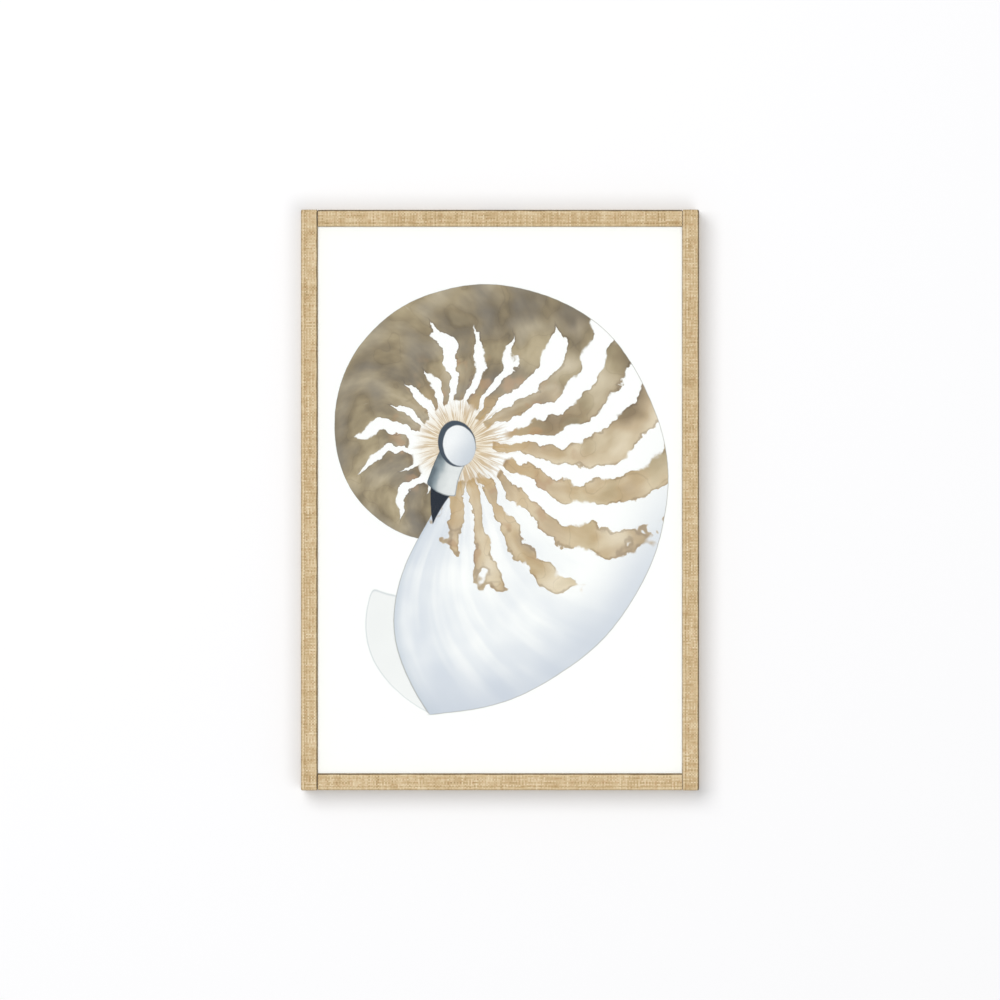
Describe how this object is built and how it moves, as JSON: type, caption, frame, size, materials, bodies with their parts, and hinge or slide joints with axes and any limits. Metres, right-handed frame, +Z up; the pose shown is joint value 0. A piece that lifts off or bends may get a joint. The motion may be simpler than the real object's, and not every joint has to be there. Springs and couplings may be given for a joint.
{
  "type": "framed art print",
  "caption": "Upright rectangular picture frame wrapped in woven linen, with a watercolour print of a nautilus behind glass, made to hang on a nail.",
  "frame": {"origin": "where the nail bears in the middle notch of the sawtooth hanger, on the back of the top rail", "axes": "+Z up the picture, towards its top rail; +Y out of its back, towards the wall; +X to the right of someone looking at the print, which faces -Y"},
  "size_m": [0.4368, 0.0318, 0.6368],
  "materials": {
    "linen": "natural undyed plain-weave linen, matte, glued down tight",
    "wood": "planed bare softwood",
    "glass": "clear float glass with ground edges",
    "print": "matte textured art paper with a watercolour print",
    "board": "pressed hardboard, matte and slightly fibrous",
    "steel": "zinc-plated steel, satin",
    "rubber": "soft matte rubber"
  },
  "bodies": {
    "root": {"left_stile": "wood", "right_stile": "wood", "top_rail": "wood", "bottom_rail": "wood", "left_stile_linen": "linen", "right_stile_linen": "linen", "top_rail_linen": "linen", "bottom_rail_linen": "linen", "glass_pane": "glass", "art_print": "print", "backing_board": "board", "left_stile_point_1": "steel", "left_stile_point_2": "steel", "left_stile_point_3": "steel", "right_stile_point_1": "steel", "right_stile_point_2": "steel", "right_stile_point_3": "steel", "top_rail_point_1": "steel", "top_rail_point_2": "steel", "bottom_rail_point_1": "steel", "bottom_rail_point_2": "steel", "corner_fastener_top_left": "steel", "corner_fastener_top_right": "steel", "corner_fastener_bottom_left": "steel", "corner_fastener_bottom_right": "steel", "sawtooth_hanger": "steel", "hanger_screw_left": "steel", "hanger_screw_right": "steel", "bumper_left": "rubber", "bumper_right": "rubber"}
  },
  "joints": []
}
